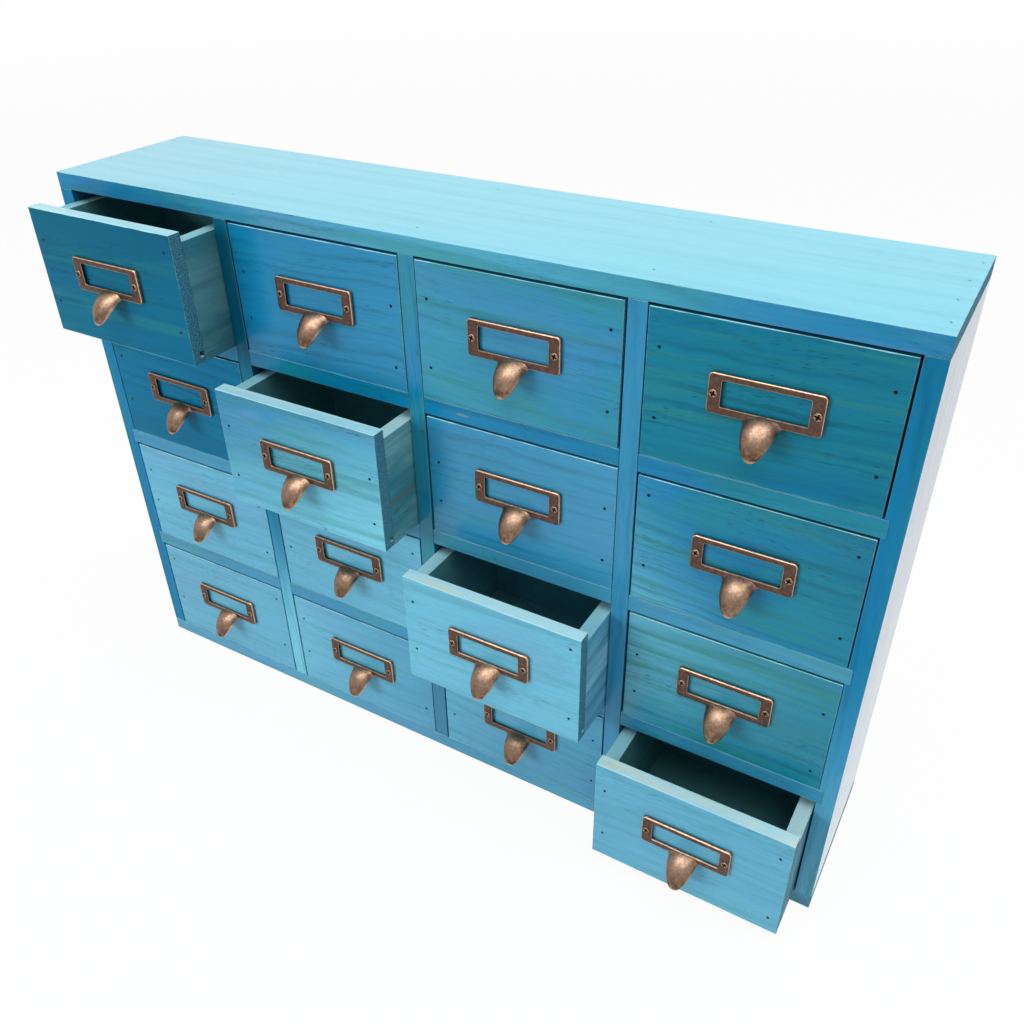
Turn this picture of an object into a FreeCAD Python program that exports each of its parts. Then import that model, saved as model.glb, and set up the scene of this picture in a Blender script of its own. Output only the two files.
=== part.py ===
"""Tabletop spice cabinet: sixteen small drawers in a nailed board carcass.

Millimetres. +X runs to the right, +Y to the back and +Z up. The origin is the middle of the
underside of the carcass. Each file in parts/ is one node: a board, a cast pull with its two
screws, or a drawer's box of four boards. Drawer names hold the row from the top and the column
from the left, as in drawer_23.
"""
import FreeCAD
import Part
import os
from math import acos, asin, cos, pi, sin

# Carcass
WIDTH = 500.0
DEPTH = 100.0
HEIGHT = 350.0
COLUMNS = 4
ROWS = 4
CASE_BOARD = 9.5          # thickness of the top, the bottom and the two sides
DIVIDER_BOARD = 9.5       # uprights between the columns
SHELF_BOARD = 9.5         # shelves between the rows
BACK_BOARD = 3.0          # thin panel let into the back edges
BACK_LAP = 5.0            # width of the rebate that the back panel is nailed into
HOUSING_DEPTH = 2.5       # how far a shelf's end runs into a side
SLOT_PLAY = 0.1           # play on each side of a board in its cross-halving slot

# Carcass brads
BRAD_RADIUS = 0.7
BRAD_LENGTH = 24.0
BRAD_EDGE = 13.0          # from the front or back edge to the nearest brad
SIDE_BRADS = 4            # brads in a row down through the top into a side
CROSS_BRADS = 2           # brads in a row into a divider or a shelf end

# Drawers
FRONT_BOARD = 8.0
BOX_BOARD = 8.0           # drawer sides and back
BASE_BOARD = 3.0          # drawer bottom, in grooves
GROOVE_UP = 3.5           # from the drawer's underside to the groove
GROOVE_DEPTH = 3.0
SIDE_DROP = 5.5           # how much lower the sides are than the front
SIDE_GAP = 0.8            # running gap beside a centred drawer
TOP_GAP = 1.4             # gap over a drawer's front
RUN_GAP = 0.2             # running gap under a drawer
REAR_GAP = 1.5            # from a closed drawer to the back panel

# How far a drawer stands open at rest, and how far to the right of its cell's middle it sits,
# as a share of the side gap, by row and column
STANDS_OPEN = {(1, 1): 31.0, (2, 2): 31.0, (3, 3): 33.0, (4, 4): 32.0}
SITS_ASIDE = {(1, 2): 0.3, (1, 3): -0.6, (1, 4): -0.3, (2, 3): 0.6, (2, 4): 0.2, (3, 4): 0.7, (4, 2): 0.4}

# Cast label-holder pull
PLATE_WIDTH = 51.0
PLATE_HEIGHT = 19.4
PLATE_THICK = 2.2         # from the wood to the front of the frame
PLATE_RADIUS = 2.0
PLATE_BEVEL = 0.5
PLATE_ABOVE_MID = 4.0     # centre of the frame above the middle of the drawer front
END_BAR = 6.2             # the frame's bars round its window: at both ends,
TOP_BAR = 3.0             # above it
LOWER_BAR = 3.7           # and below it, where the tongue starts
CARD_LAP = 1.6            # how far the card pocket runs on behind the bars
CARD_DEPTH = 0.9
TONGUE_WIDTH = 16.6
TONGUE_OUT = 15.4         # from the wood to the outermost point
TONGUE_DROP = 12.9        # from the frame's lower edge to the tip
TONGUE_CROWN = 5.0        # rise of the arched section clear of the frame
TONGUE_WALL = 1.6
ROOT_FLARE = 1.0          # how much wider each side is where the tongue meets the frame
ROOT_RISE = 2.1           # rise of the arched section there, within the frame's lower bar
TIP_RADIUS = 7.4          # rounding of the tip, seen from the front
TIP_CROWN = 3.6           # rise of the arched section where that rounding starts
SCREW_INSET = 2.6         # from the frame's ends
SCREW_HEAD_RADIUS = 2.0
SCREW_HEAD_THICK = 0.6
SCREW_RADIUS = 0.9
SCREW_LENGTH = 7.5        # under the head

# Flats that stand for round forms, few enough to keep sixteen castings light
CORNER_FLATS = 3
ARCH_FLATS = 7
HOOK_SPANS = 4
TIP_SPANS = 4
ROD_FLATS = 7

# Places that follow from the sizes
FRONT_Y = -DEPTH / 2
BACK_Y = DEPTH / 2
INNER_BACK_Y = BACK_Y - BACK_BOARD
SIDE_INNER_X = WIDTH / 2 - CASE_BOARD
TOP_UNDERSIDE = HEIGHT - CASE_BOARD
CROSS_Y = (FRONT_Y + INNER_BACK_Y) / 2
CELL_WIDTH = (2 * SIDE_INNER_X - (COLUMNS - 1) * DIVIDER_BOARD) / COLUMNS
CELL_HEIGHT = (TOP_UNDERSIDE - CASE_BOARD - (ROWS - 1) * SHELF_BOARD) / ROWS
FRONT_WIDTH = CELL_WIDTH - 2 * SIDE_GAP
FRONT_HEIGHT = CELL_HEIGHT - TOP_GAP - RUN_GAP
DRAWER_LENGTH = INNER_BACK_Y - REAR_GAP - FRONT_Y
BOX_HEIGHT = FRONT_HEIGHT - SIDE_DROP
WINDOW_SIDE = PLATE_WIDTH / 2 - END_BAR
WINDOW_TOP = PLATE_HEIGHT / 2 - TOP_BAR
WINDOW_FLOOR = LOWER_BAR - PLATE_HEIGHT / 2
TONGUE_FALL = LOWER_BAR + TONGUE_DROP


def block(x0, x1, y0, y1, z0, z1):
    """A box between two opposite corners."""
    return Part.makeBox(x1 - x0, y1 - y0, z1 - z0, FreeCAD.Vector(x0, y0, z0))


def polygon(points):
    """A flat face inside a closed run of points."""
    return Part.Face(Part.makePolygon(points + points[:1]))


def rounded_rectangle(width, height, radius, y):
    """A face in the XZ plane at y, centred on x = 0 and z = 0, with rounded corners."""
    points = []
    for quarter in range(4):
        corner = (quarter + 0.5) * pi / 2
        x = (width / 2 - radius) * (1 if cos(corner) > 0 else -1)
        z = (height / 2 - radius) * (1 if sin(corner) > 0 else -1)
        for flat in range(CORNER_FLATS + 1):
            angle = (quarter + flat / CORNER_FLATS) * pi / 2
            points.append(FreeCAD.Vector(x + radius * cos(angle), y, z + radius * sin(angle)))
    return polygon(points)


def rod(radius, start, along):
    """A round rod or disc from start, as long as the vector along."""
    turn = FreeCAD.Rotation(FreeCAD.Vector(0, 0, 1), along)
    angles = [2 * pi * i / ROD_FLATS for i in range(ROD_FLATS)]
    points = [start + turn * FreeCAD.Vector(radius * cos(a), radius * sin(a), 0) for a in angles]
    return polygon(points).extrude(along)


# Cells, counted from 1 at the top left

def cell_left(column):
    return -SIDE_INNER_X + (column - 1) * (CELL_WIDTH + DIVIDER_BOARD)


def cell_floor(row):
    return TOP_UNDERSIDE - row * CELL_HEIGHT - (row - 1) * SHELF_BOARD


def divider_left(number):
    return cell_left(number) + CELL_WIDTH


def shelf_floor(number):
    return cell_floor(number) - SHELF_BOARD


# Carcass boards

def back_panel():
    x = SIDE_INNER_X + BACK_LAP
    return block(-x, x, INNER_BACK_Y, BACK_Y, CASE_BOARD - BACK_LAP, TOP_UNDERSIDE + BACK_LAP)


def top_panel():
    board = block(-WIDTH / 2, WIDTH / 2, FRONT_Y, BACK_Y, TOP_UNDERSIDE, HEIGHT)
    return board.cut(back_panel())


def bottom_panel():
    board = block(-WIDTH / 2, WIDTH / 2, FRONT_Y, BACK_Y, 0, CASE_BOARD)
    return board.cut(back_panel())


def shelf_blank(number):
    """A shelf before its slots, its ends in the housings of the two sides."""
    x = SIDE_INNER_X + HOUSING_DEPTH
    z = shelf_floor(number)
    return block(-x, x, FRONT_Y, INNER_BACK_Y, z, z + SHELF_BOARD)


def shelf(number):
    """Slotted from the front, so that the dividers run through unbroken there."""
    board = shelf_blank(number)
    z = shelf_floor(number)
    for divider_number in range(1, COLUMNS):
        x = divider_left(divider_number)
        slot = block(x - SLOT_PLAY, x + DIVIDER_BOARD + SLOT_PLAY, FRONT_Y, CROSS_Y, z, z + SHELF_BOARD)
        board = board.cut(slot)
    return board


def divider(number):
    """Slotted from the back, to drop over the shelves."""
    x = divider_left(number)
    board = block(x, x + DIVIDER_BOARD, FRONT_Y, INNER_BACK_Y, CASE_BOARD, TOP_UNDERSIDE)
    for shelf_number in range(1, ROWS):
        z = shelf_floor(shelf_number)
        slot = block(x, x + DIVIDER_BOARD, CROSS_Y, INNER_BACK_Y, z - SLOT_PLAY, z + SHELF_BOARD + SLOT_PLAY)
        board = board.cut(slot)
    return board


def side(direction):
    """The left side is direction -1 and the right side +1."""
    inner, outer = direction * SIDE_INNER_X, direction * WIDTH / 2
    board = block(min(inner, outer), max(inner, outer), FRONT_Y, BACK_Y, CASE_BOARD, TOP_UNDERSIDE)
    board = board.cut(back_panel())
    for number in range(1, ROWS):
        board = board.cut(shelf_blank(number))
    return board


def spread(first, last, count):
    """Even places from first to last."""
    return [first + (last - first) * i / (count - 1) for i in range(count)]


def carcass_brads():
    """Brads down into the sides and dividers, up into them, and sideways into the shelf ends."""
    first, last = FRONT_Y + BRAD_EDGE, BACK_Y - BRAD_EDGE
    rows = [(x, SIDE_BRADS) for x in (-WIDTH / 2 + CASE_BOARD / 2, WIDTH / 2 - CASE_BOARD / 2)]
    rows += [(divider_left(n) + DIVIDER_BOARD / 2, CROSS_BRADS) for n in range(1, COLUMNS)]
    brads = []
    for x, count in rows:
        for y in spread(first, last, count):
            down, up = FreeCAD.Vector(0, 0, -BRAD_LENGTH), FreeCAD.Vector(0, 0, BRAD_LENGTH)
            brads.append(rod(BRAD_RADIUS, FreeCAD.Vector(x, y, HEIGHT), down))
            brads.append(rod(BRAD_RADIUS, FreeCAD.Vector(x, y, 0), up))
    for number in range(1, ROWS):
        z = shelf_floor(number) + SHELF_BOARD / 2
        for y in spread(first, last, CROSS_BRADS):
            for way in (-1, 1):
                start = FreeCAD.Vector(way * WIDTH / 2, y, z)
                brads.append(rod(BRAD_RADIUS, start, FreeCAD.Vector(-way * BRAD_LENGTH, 0, 0)))
    return Part.makeCompound(brads)


# Drawer boards, made closed, with x = 0 in the middle and z = 0 at the drawer's underside

def drawer_base():
    """The thin bottom, in grooves all round."""
    x = FRONT_WIDTH / 2 - BOX_BOARD + GROOVE_DEPTH
    y0 = FRONT_Y + FRONT_BOARD - GROOVE_DEPTH
    y1 = FRONT_Y + DRAWER_LENGTH - BOX_BOARD + GROOVE_DEPTH
    return block(-x, x, y0, y1, GROOVE_UP, GROOVE_UP + BASE_BOARD)


def drawer_front():
    """A plain board, with the bottom's groove running out through both ends."""
    x = FRONT_WIDTH / 2
    back = FRONT_Y + FRONT_BOARD
    board = block(-x, x, FRONT_Y, back, 0, FRONT_HEIGHT)
    groove = block(-x, x, back - GROOVE_DEPTH, back, GROOVE_UP, GROOVE_UP + BASE_BOARD)
    return board.cut(groove)


def drawer_side(direction):
    inner = direction * (FRONT_WIDTH / 2 - BOX_BOARD)
    outer = direction * FRONT_WIDTH / 2
    y0, y1 = FRONT_Y + FRONT_BOARD, FRONT_Y + DRAWER_LENGTH
    board = block(min(inner, outer), max(inner, outer), y0, y1, 0, BOX_HEIGHT)
    return board.cut(drawer_base())


def drawer_back():
    """Between the two sides."""
    x = FRONT_WIDTH / 2 - BOX_BOARD
    y1 = FRONT_Y + DRAWER_LENGTH
    return block(-x, x, y1 - BOX_BOARD, y1, 0, BOX_HEIGHT).cut(drawer_base())


def drawer_box():
    return Part.makeCompound([drawer_side(-1), drawer_side(1), drawer_back(), drawer_base()])


# Cast pull, made with its back on the plane y = 0, facing -Y, and z = 0 at the frame's middle

def pull_frame():
    """A bevelled frame round a window, with a pocket behind it that takes a card from above."""
    rim_y = -PLATE_THICK + PLATE_BEVEL
    outer = rounded_rectangle(PLATE_WIDTH, PLATE_HEIGHT, PLATE_RADIUS, 0)
    frame = outer.extrude(FreeCAD.Vector(0, rim_y, 0))
    rim = rounded_rectangle(PLATE_WIDTH, PLATE_HEIGHT, PLATE_RADIUS, rim_y)
    face = rounded_rectangle(PLATE_WIDTH - 2 * PLATE_BEVEL, PLATE_HEIGHT - 2 * PLATE_BEVEL,
                             PLATE_RADIUS - PLATE_BEVEL, -PLATE_THICK)
    frame = frame.fuse(skin([corners(rim), corners(face)]))
    frame = frame.cut(block(-WINDOW_SIDE, WINDOW_SIDE, -PLATE_THICK, 0, WINDOW_FLOOR, WINDOW_TOP))
    x = WINDOW_SIDE + CARD_LAP
    return frame.cut(block(-x, x, -CARD_DEPTH, 0, WINDOW_FLOOR - CARD_LAP, PLATE_HEIGHT / 2))


def corners(face):
    return [vertex.Point for vertex in face.OuterWire.OrderedVertexes]


def skin(sections):
    """A solid through sections with equal numbers of points, each quad split on its short diagonal."""
    faces = [polygon(sections[0]), polygon(sections[-1])]
    count = len(sections[0])
    for near, far in zip(sections, sections[1:]):
        for i in range(count):
            j = (i + 1) % count
            if near[i].distanceToPoint(far[j]) < near[j].distanceToPoint(far[i]):
                halves = [near[i], near[j], far[j]], [near[i], far[j], far[i]]
            else:
                halves = [near[i], near[j], far[i]], [near[j], far[j], far[i]]
            faces += [polygon(half) for half in halves]
    return Part.makeSolid(Part.makeShell(faces)).removeSplitter()


def arched_section(turn, half, rise):
    """Points of the tongue's cross-section where its crown has turned that far down.

    The crown follows a quarter ellipse, straight out from the frame and then down. The
    section is an arch over it, with an equal one behind by the wall's thickness.
    """
    root_y = -(CARD_DEPTH + PLATE_THICK) / 2
    reach = TONGUE_OUT + root_y
    crown = FreeCAD.Vector(0, root_y - reach * sin(turn), WINDOW_FLOOR - TONGUE_FALL * (1 - cos(turn)))
    outwards = FreeCAD.Vector(0, -TONGUE_FALL * sin(turn), reach * cos(turn)).normalize()
    radius = (half ** 2 + rise ** 2) / (2 * rise)
    spread_angle = asin(half / radius)
    arch = []
    for flat in range(ARCH_FLATS + 1):
        angle = spread_angle * (2 * flat / ARCH_FLATS - 1)
        sag = radius * (1 - cos(angle))
        arch.append(crown + FreeCAD.Vector(radius * sin(angle), 0, 0) - outwards * sag)
    return arch + [point - outwards * TONGUE_WALL for point in reversed(arch)]


def tongue():
    """An arched, hooked shell with a rounded tip, hollow behind for a finger."""
    tip_turn = acos(TIP_RADIUS / TONGUE_FALL)
    sections = [arched_section(0, TONGUE_WIDTH / 2 + ROOT_FLARE, ROOT_RISE)]
    for span in range(1, HOOK_SPANS):
        share = span / HOOK_SPANS
        half = TONGUE_WIDTH / 2 + (TIP_RADIUS - TONGUE_WIDTH / 2) * share
        rise = TONGUE_CROWN + (TIP_CROWN - TONGUE_CROWN) * share
        sections.append(arched_section(tip_turn * share, half, rise))
    for span in range(TIP_SPANS + 1):
        round_tip = span / (TIP_SPANS + 0.5) * pi / 2
        turn = acos(TIP_RADIUS * (1 - sin(round_tip)) / TONGUE_FALL)
        sections.append(arched_section(turn, TIP_RADIUS * cos(round_tip), TIP_CROWN * cos(round_tip)))
    return skin(sections)


def pull_screw(x):
    """A round head on the frame, and its shank through the frame into the wood."""
    face = FreeCAD.Vector(x, -PLATE_THICK, 0)
    head = rod(SCREW_HEAD_RADIUS, face, FreeCAD.Vector(0, -SCREW_HEAD_THICK, 0))
    shank = rod(SCREW_RADIUS, face, FreeCAD.Vector(0, SCREW_LENGTH, 0))
    return head.fuse(shank)


def pull():
    """The casting and its two screws, as three solids."""
    casting = pull_frame().fuse(tongue()).removeSplitter()
    screws = [pull_screw(way * (PLATE_WIDTH / 2 - SCREW_INSET)) for way in (-1, 1)]
    for screw in screws:
        casting = casting.cut(screw)
    return Part.makeCompound([casting] + screws)


def moved(shape, x, y, z):
    return shape.translated(FreeCAD.Vector(x, y, z))


def write(shape, node):
    shape.exportStep(os.path.join("parts", node + ".step"))


def write_carcass():
    write(top_panel(), "top_panel")
    write(bottom_panel(), "bottom_panel")
    write(side(-1), "left_side")
    write(side(1), "right_side")
    write(back_panel(), "back_panel")
    write(carcass_brads(), "carcass_brads")
    for number in range(1, COLUMNS):
        write(divider(number), f"divider_{number}")
    for number in range(1, ROWS):
        write(shelf(number), f"shelf_{number}")


def write_drawers():
    front, box, handle = drawer_front(), drawer_box(), pull()
    for row in range(1, ROWS + 1):
        for column in range(1, COLUMNS + 1):
            name = f"drawer_{row}{column}"
            x = cell_left(column) + CELL_WIDTH / 2 + SIDE_GAP * SITS_ASIDE.get((row, column), 0)
            y = -STANDS_OPEN.get((row, column), 0)
            z = cell_floor(row) + RUN_GAP
            write(moved(front, x, y, z), name + "_front")
            write(moved(box, x, y, z), name + "_box")
            pull_z = z + FRONT_HEIGHT / 2 + PLATE_ABOVE_MID
            write(moved(handle, x, y + FRONT_Y, pull_z), name + "_pull")


os.makedirs("parts", exist_ok=True)
write_carcass()
write_drawers()
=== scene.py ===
"""Looks for the spice drawer cabinet: stained and lacquered boards, cast copper pulls, brads.

Metres, in the frame's own axes: +X right, +Y back, +Z up, drawers slide out towards -Y.
"""
from collections import Counter
from math import atan2, cos, pi, radians, sin

import bpy
from mathutils import Matrix, Vector


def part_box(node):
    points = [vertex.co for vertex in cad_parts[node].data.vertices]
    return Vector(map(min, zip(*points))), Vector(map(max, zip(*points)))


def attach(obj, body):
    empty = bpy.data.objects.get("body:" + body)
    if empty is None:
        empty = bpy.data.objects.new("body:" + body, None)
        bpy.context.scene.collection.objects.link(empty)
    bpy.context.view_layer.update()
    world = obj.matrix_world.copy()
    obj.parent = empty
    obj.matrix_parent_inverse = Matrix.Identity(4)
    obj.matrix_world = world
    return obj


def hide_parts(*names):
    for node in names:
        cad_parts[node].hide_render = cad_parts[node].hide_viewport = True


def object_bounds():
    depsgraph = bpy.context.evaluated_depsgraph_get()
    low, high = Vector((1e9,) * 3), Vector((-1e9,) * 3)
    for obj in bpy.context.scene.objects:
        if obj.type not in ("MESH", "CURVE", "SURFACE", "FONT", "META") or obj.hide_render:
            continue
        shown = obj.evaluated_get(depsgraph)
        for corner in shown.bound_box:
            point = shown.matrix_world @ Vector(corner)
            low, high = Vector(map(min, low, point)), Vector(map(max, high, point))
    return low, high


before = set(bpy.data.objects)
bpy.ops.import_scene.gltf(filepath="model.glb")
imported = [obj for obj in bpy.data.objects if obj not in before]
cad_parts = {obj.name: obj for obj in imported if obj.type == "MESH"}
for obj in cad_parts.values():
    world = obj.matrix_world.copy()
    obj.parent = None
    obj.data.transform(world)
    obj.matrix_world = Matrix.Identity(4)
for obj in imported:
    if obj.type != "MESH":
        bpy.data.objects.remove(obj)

CAD_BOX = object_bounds()
MM = 0.001
ROWS = range(1, 5)
COLUMNS = range(1, 5)

# Cast pull, from the middle of its frame, with the wood at y = 0
PLATE_WIDTH = 51.0 * MM
PLATE_HEIGHT = 19.4 * MM
PLATE_THICK = 2.2 * MM
PLATE_RADIUS = 2.0 * MM
PLATE_BEVEL = 0.55 * MM
END_BAR = 6.2 * MM
TOP_BAR = 3.0 * MM
LOWER_BAR = 3.7 * MM
WINDOW_RADIUS = 0.7 * MM
WINDOW_BEVEL = 0.35 * MM
CARD_LAP = 1.6 * MM
CARD_DEPTH = 0.9 * MM
TONGUE_OUT = 15.4 * MM
TONGUE_DROP = 12.9 * MM
TONGUE_WALL = 1.5 * MM
SCREW_INSET = 2.8 * MM
SCREW_RADIUS = 1.95 * MM
SCREW_THICK = 0.6 * MM
HEAD_ROUNDING = 0.35 * MM
SLOT_LENGTH = 3.0 * MM
SLOT_WIDTH = 0.8 * MM
SLOT_DEPTH = 0.55 * MM
SLOT_TURN = 20
PULL_ABOVE_MID = 4.0 * MM
WINDOW_FLOOR = LOWER_BAR - PLATE_HEIGHT / 2
WINDOW_TOP = PLATE_HEIGHT / 2 - TOP_BAR
WINDOW_SIDE = PLATE_WIDTH / 2 - END_BAR

# Brads
BRAD_RADIUS = 0.85 * MM
CASE_BRAD_RADIUS = 0.55 * MM
BRAD_PROUD = 0.02 * MM
HAND_WANDER = 1.3 * MM
CASE_BRAD_EDGE = 13.0 * MM
FRONT_BRAD_IN = 6.0 * MM
# Heights of each front's brads over its lower edge in millimetres, two at the left and two at the right
FRONT_BRADS = {11: (56, 19, 64, 19), 12: (48, 21, 47, 13), 13: (55, 18, 59, 18), 14: (56, 21, 58, 19),
               21: (56, 25, 57, 20), 22: (52, 19, 46, 17), 23: (47, 22, 49, 17), 24: (64, 22, 63, 16),
               31: (55, 30, 56, 19), 32: (60, 32, 62, 20), 33: (58, 23, 66, 16), 34: (47, 20, 52, 11),
               41: (63, 27, 64, 22), 42: (56, 26, 57, 19), 43: (56, 25, 53, 18), 44: (55, 19, 61, 11)}

# Easing of the boards' edges
EASING = 0.4 * MM


def colour(red, green, blue):
    """Screen values from 0 to 255 as the linear colour that a socket takes."""
    parts = [part / 255 for part in (red, green, blue)]
    return [part / 12.92 if part <= 0.04045 else ((part + 0.055) / 1.055) ** 2.4 for part in parts] + [1]


# ---------------------------------------------------------------- modelling helpers

def deselect_all():
    if bpy.context.object and bpy.context.object.mode != "OBJECT":
        bpy.ops.object.mode_set(mode="OBJECT")
    bpy.ops.object.select_all(action="DESELECT")


def pick(piece):
    deselect_all()
    piece.select_set(True)
    bpy.context.view_layer.objects.active = piece


def settle(piece, name=None):
    """Puts the piece's turn, size and place into its mesh."""
    pick(piece)
    bpy.ops.object.transform_apply(location=True, rotation=True, scale=True)
    if name:
        piece.name = name
        piece.data.name = name
    return piece


def add_block(low, high, name):
    """A block between two corners, ready to shape."""
    deselect_all()
    middle = [(a + b) / 2 for a, b in zip(low, high)]
    bpy.ops.mesh.primitive_cube_add(size=1, location=middle)
    piece = bpy.context.object
    piece.scale = [b - a for a, b in zip(low, high)]
    return settle(piece, name)


def choose(piece, kind, test):
    """Opens the piece in edit mode with only the faces, edges or vertices that pass the test selected."""
    pick(piece)
    bpy.ops.object.mode_set(mode="EDIT")
    bpy.ops.mesh.select_mode(type={"faces": "FACE", "edges": "EDGE", "vertices": "VERT"}[kind])
    bpy.ops.mesh.select_all(action="DESELECT")
    bpy.ops.object.mode_set(mode="OBJECT")
    mesh = piece.data
    parts = {"faces": mesh.polygons, "edges": mesh.edges, "vertices": mesh.vertices}[kind]
    for part in parts:
        if kind == "edges":
            part.select = test(*[mesh.vertices[i].co for i in part.vertices])
        elif kind == "faces":
            part.select = test(part)
        else:
            part.select = test(part.co)
    bpy.ops.object.mode_set(mode="EDIT")


def close_edit():
    bpy.ops.object.mode_set(mode="OBJECT")


def finish_with(piece, kind, **settings):
    """Adds a modifier and applies it at once."""
    pick(piece)
    modifier = piece.modifiers.new(kind.title(), kind)
    for setting, value in settings.items():
        setattr(modifier, setting, value)
    bpy.ops.object.modifier_apply(modifier=modifier.name)


def cut_away(piece, cutter):
    finish_with(piece, "BOOLEAN", operation="DIFFERENCE", object=cutter, solver="EXACT")
    bpy.data.objects.remove(cutter)


def join(pieces, name):
    deselect_all()
    for piece in pieces:
        piece.select_set(True)
    bpy.context.view_layer.objects.active = pieces[0]
    bpy.ops.object.join()
    return settle(bpy.context.object, name)


def copy_to(pattern, name, place):
    """A copy with its own mesh, with its place in that mesh."""
    piece = pattern.copy()
    piece.data = pattern.data.copy()
    piece.name = name
    piece.data.name = name
    bpy.context.scene.collection.objects.link(piece)
    piece.data.transform(Matrix.Translation(place))
    return piece


# ---------------------------------------------------------------- materials

class Finish:
    """One material while it is mixed: adds nodes and joins them to each other."""

    def __init__(self, name, **constants):
        self.material = bpy.data.materials.new(name)
        self.material.use_nodes = True
        self.tree = self.material.node_tree
        self.shader = self.tree.nodes["Principled BSDF"]
        for socket, value in constants.items():
            self.shader.inputs[socket.replace("_", " ")].default_value = value

    def node(self, kind, inputs, **settings):
        made = self.tree.nodes.new("ShaderNode" + kind)
        for setting, value in settings.items():
            setattr(made, setting, value)
        for socket, value in inputs.items():
            self.feed(made.inputs[socket], value)
        return made

    def feed(self, socket, value):
        if isinstance(value, bpy.types.NodeSocket):
            self.tree.links.new(value, socket)
        else:
            socket.default_value = value

    def drive(self, socket, value):
        self.tree.links.new(value, self.shader.inputs[socket])

    def stretch(self, place, scale, turn=(0, 0, 0), shift=(0, 0, 0)):
        inputs = {"Vector": place, "Location": shift, "Rotation": turn, "Scale": scale}
        return self.node("Mapping", inputs).outputs[0]

    def noise(self, place, detail=2.0, roughness=0.5, distortion=0.0, scale=1.0):
        inputs = {"Vector": place, "Scale": scale, "Detail": detail, "Roughness": roughness,
                  "Distortion": distortion}
        return self.node("TexNoise", inputs).outputs["Fac"]

    def between(self, value, low, high, to_low=0.0, to_high=1.0):
        """A smooth step of the value from low to high."""
        inputs = {"Value": value, "From Min": low, "From Max": high, "To Min": to_low, "To Max": to_high}
        return self.node("MapRange", inputs, interpolation_type="SMOOTHSTEP").outputs[0]

    def sum(self, operation, first, second=0.0, third=0.0):
        return self.node("Math", {0: first, 1: second, 2: third}, operation=operation).outputs[0]

    def blend(self, share, first, second):
        return self.node("Mix", {0: share, 6: first, 7: second}, data_type="RGBA").outputs[2]

    def axes(self, vector):
        return self.node("SeparateXYZ", {0: vector}).outputs

    def bump(self, height, distance):
        made = self.node("Bump", {"Height": height, "Distance": distance, "Strength": 1.0})
        self.drive("Normal", made.outputs[0])


BLUE_STAIN = colour(6, 121, 168)
TEAL_STAIN = colour(18, 128, 152)
DEEP_STAIN = colour(4, 86, 112)
OLIVE_STREAK = colour(40, 126, 122)
# The mauve haze and the pale wash below are partly real stain and partly painted reflection of the lacquer
MAUVE_REFLECTION_HAZE = colour(112, 152, 190)
TICK_STAIN = colour(3, 46, 62)
PALE_WASH_AND_REFLECTION = colour(124, 207, 229)
# Upper-face colours: pale, with painted light and sheen from above in them
CASE_TOP = colour(120, 204, 222)
TOP_STREAK = colour(92, 180, 204)
FRONT_TOP = colour(184, 226, 232)
CREAM_WEAR = colour(226, 224, 200)
# Worn edges, which also carry a painted highlight on the eased arris
WORN_EDGE_HIGHLIGHT = colour(176, 230, 238)
END_DARK = colour(40, 96, 114)
END_PALE = colour(88, 142, 158)
LACQUER_SHEEN = colour(222, 244, 255)
WOOD_RELIEF = 0.1 * MM
RING_WANDER = 8 * MM
GRAIN_TURNS = {"x": (0, 0, 0), "y": (0, 0, pi / 2), "z": (0, pi / 2, 0)}


def grain_lines(finish, along, from_middle, seed, turn):
    """How dark the grain is: fine long hairs, short thin ticks in groups, and bowed growth lines.

    The growth lines are cuts through the tree's rings, drawn out along the grain round a heart that
    lies to one side of the board.
    """
    hairs = finish.noise(finish.stretch(along, (70, 1300, 1300)), 3, 0.6)
    ticks = finish.noise(finish.stretch(along, (150, 2600, 2600)), 1, 0.4)
    beds = finish.noise(finish.stretch(along, (14, 70, 70)), 2, 0.5)
    side = 1 if sin(seed * 1.3) > 0 else -1
    heart = (0.008 * sin(seed * 2.1), 0.03, side * (0.058 + 0.014 * sin(seed * 1.7)))
    rings = finish.stretch(finish.stretch(from_middle, (1, 1, 1), turn), (0.16, 1, 1), (0, 0, 0), heart)
    radius = finish.node("VectorMath", {0: rings}, operation="LENGTH").outputs["Value"]
    wander = finish.noise(finish.stretch(along, (22, 60, 60)), 2, 0.5)
    radius = finish.sum("MULTIPLY_ADD", wander, RING_WANDER, radius)
    bows = finish.node("TexNoise", {"W": radius, "Scale": 250.0, "Detail": 2.0, "Roughness": 0.6},
                       noise_dimensions="1D").outputs["Fac"]
    hairs = finish.between(hairs, 0.42, 0.72)
    ticks = finish.sum("MULTIPLY", finish.between(ticks, 0.63, 0.73), finish.between(beds, 0.48, 0.64))
    bows = finish.between(bows, 0.42, 0.76)
    bows = finish.sum("MULTIPLY", bows, finish.between(beds, 0.38, 0.6, 0.3, 1.0))
    return hairs, ticks, bows


def add_marks(finish, place, shade, marks):
    """Small rubbed or scratched places: the middle of each, how far it reaches each way, and its colour."""
    ragged = finish.noise(place, 3, 0.6, scale=700)
    for middle, reach, tint in marks:
        away = finish.node("VectorMath", {0: place, 1: middle}, operation="SUBTRACT").outputs[0]
        away = finish.node("VectorMath", {0: away, 1: reach}, operation="DIVIDE").outputs[0]
        away = finish.node("VectorMath", {0: away}, operation="LENGTH").outputs["Value"]
        away = finish.sum("ADD", away, finish.sum("SUBTRACT", ragged, 0.5))
        shade = finish.blend(finish.between(away, 1.0, 0.4, 0, 0.8), shade, tint)
    return shade


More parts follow.
